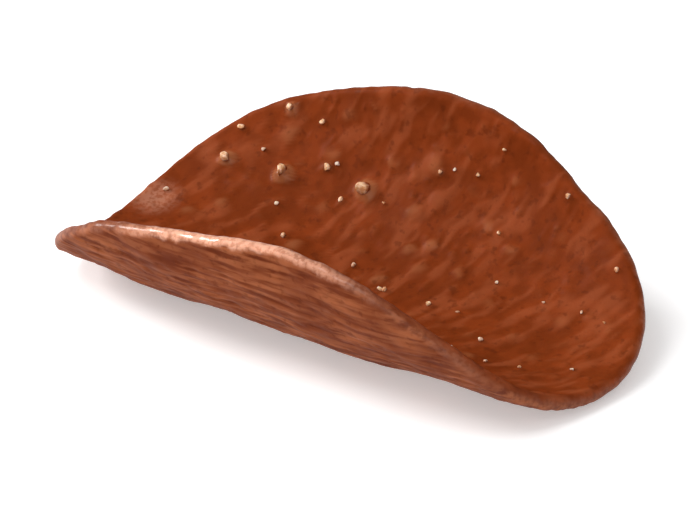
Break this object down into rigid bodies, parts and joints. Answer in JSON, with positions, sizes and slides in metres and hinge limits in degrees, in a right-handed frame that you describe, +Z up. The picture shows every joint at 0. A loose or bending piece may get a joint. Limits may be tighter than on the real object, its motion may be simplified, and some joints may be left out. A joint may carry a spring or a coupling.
{
  "type": "tuile biscuit",
  "caption": "Thin milk chocolate tuile with crisp pieces, an oval sheet curved like a roof tile and lying on its back, hollow side up",
  "frame": {"origin": "middle of the footprint, on the plane that the tuile's back rests on", "axes": "+X runs along the bend line, the sheet's long way; +Y across it, towards one raised side; +Z up, out of the hollow"},
  "size_m": [0.0622, 0.039, 0.0168],
  "materials": {
    "milk_chocolate": "satin"
  },
  "bodies": {
    "root": {"tuile": "milk_chocolate"}
  },
  "joints": []
}
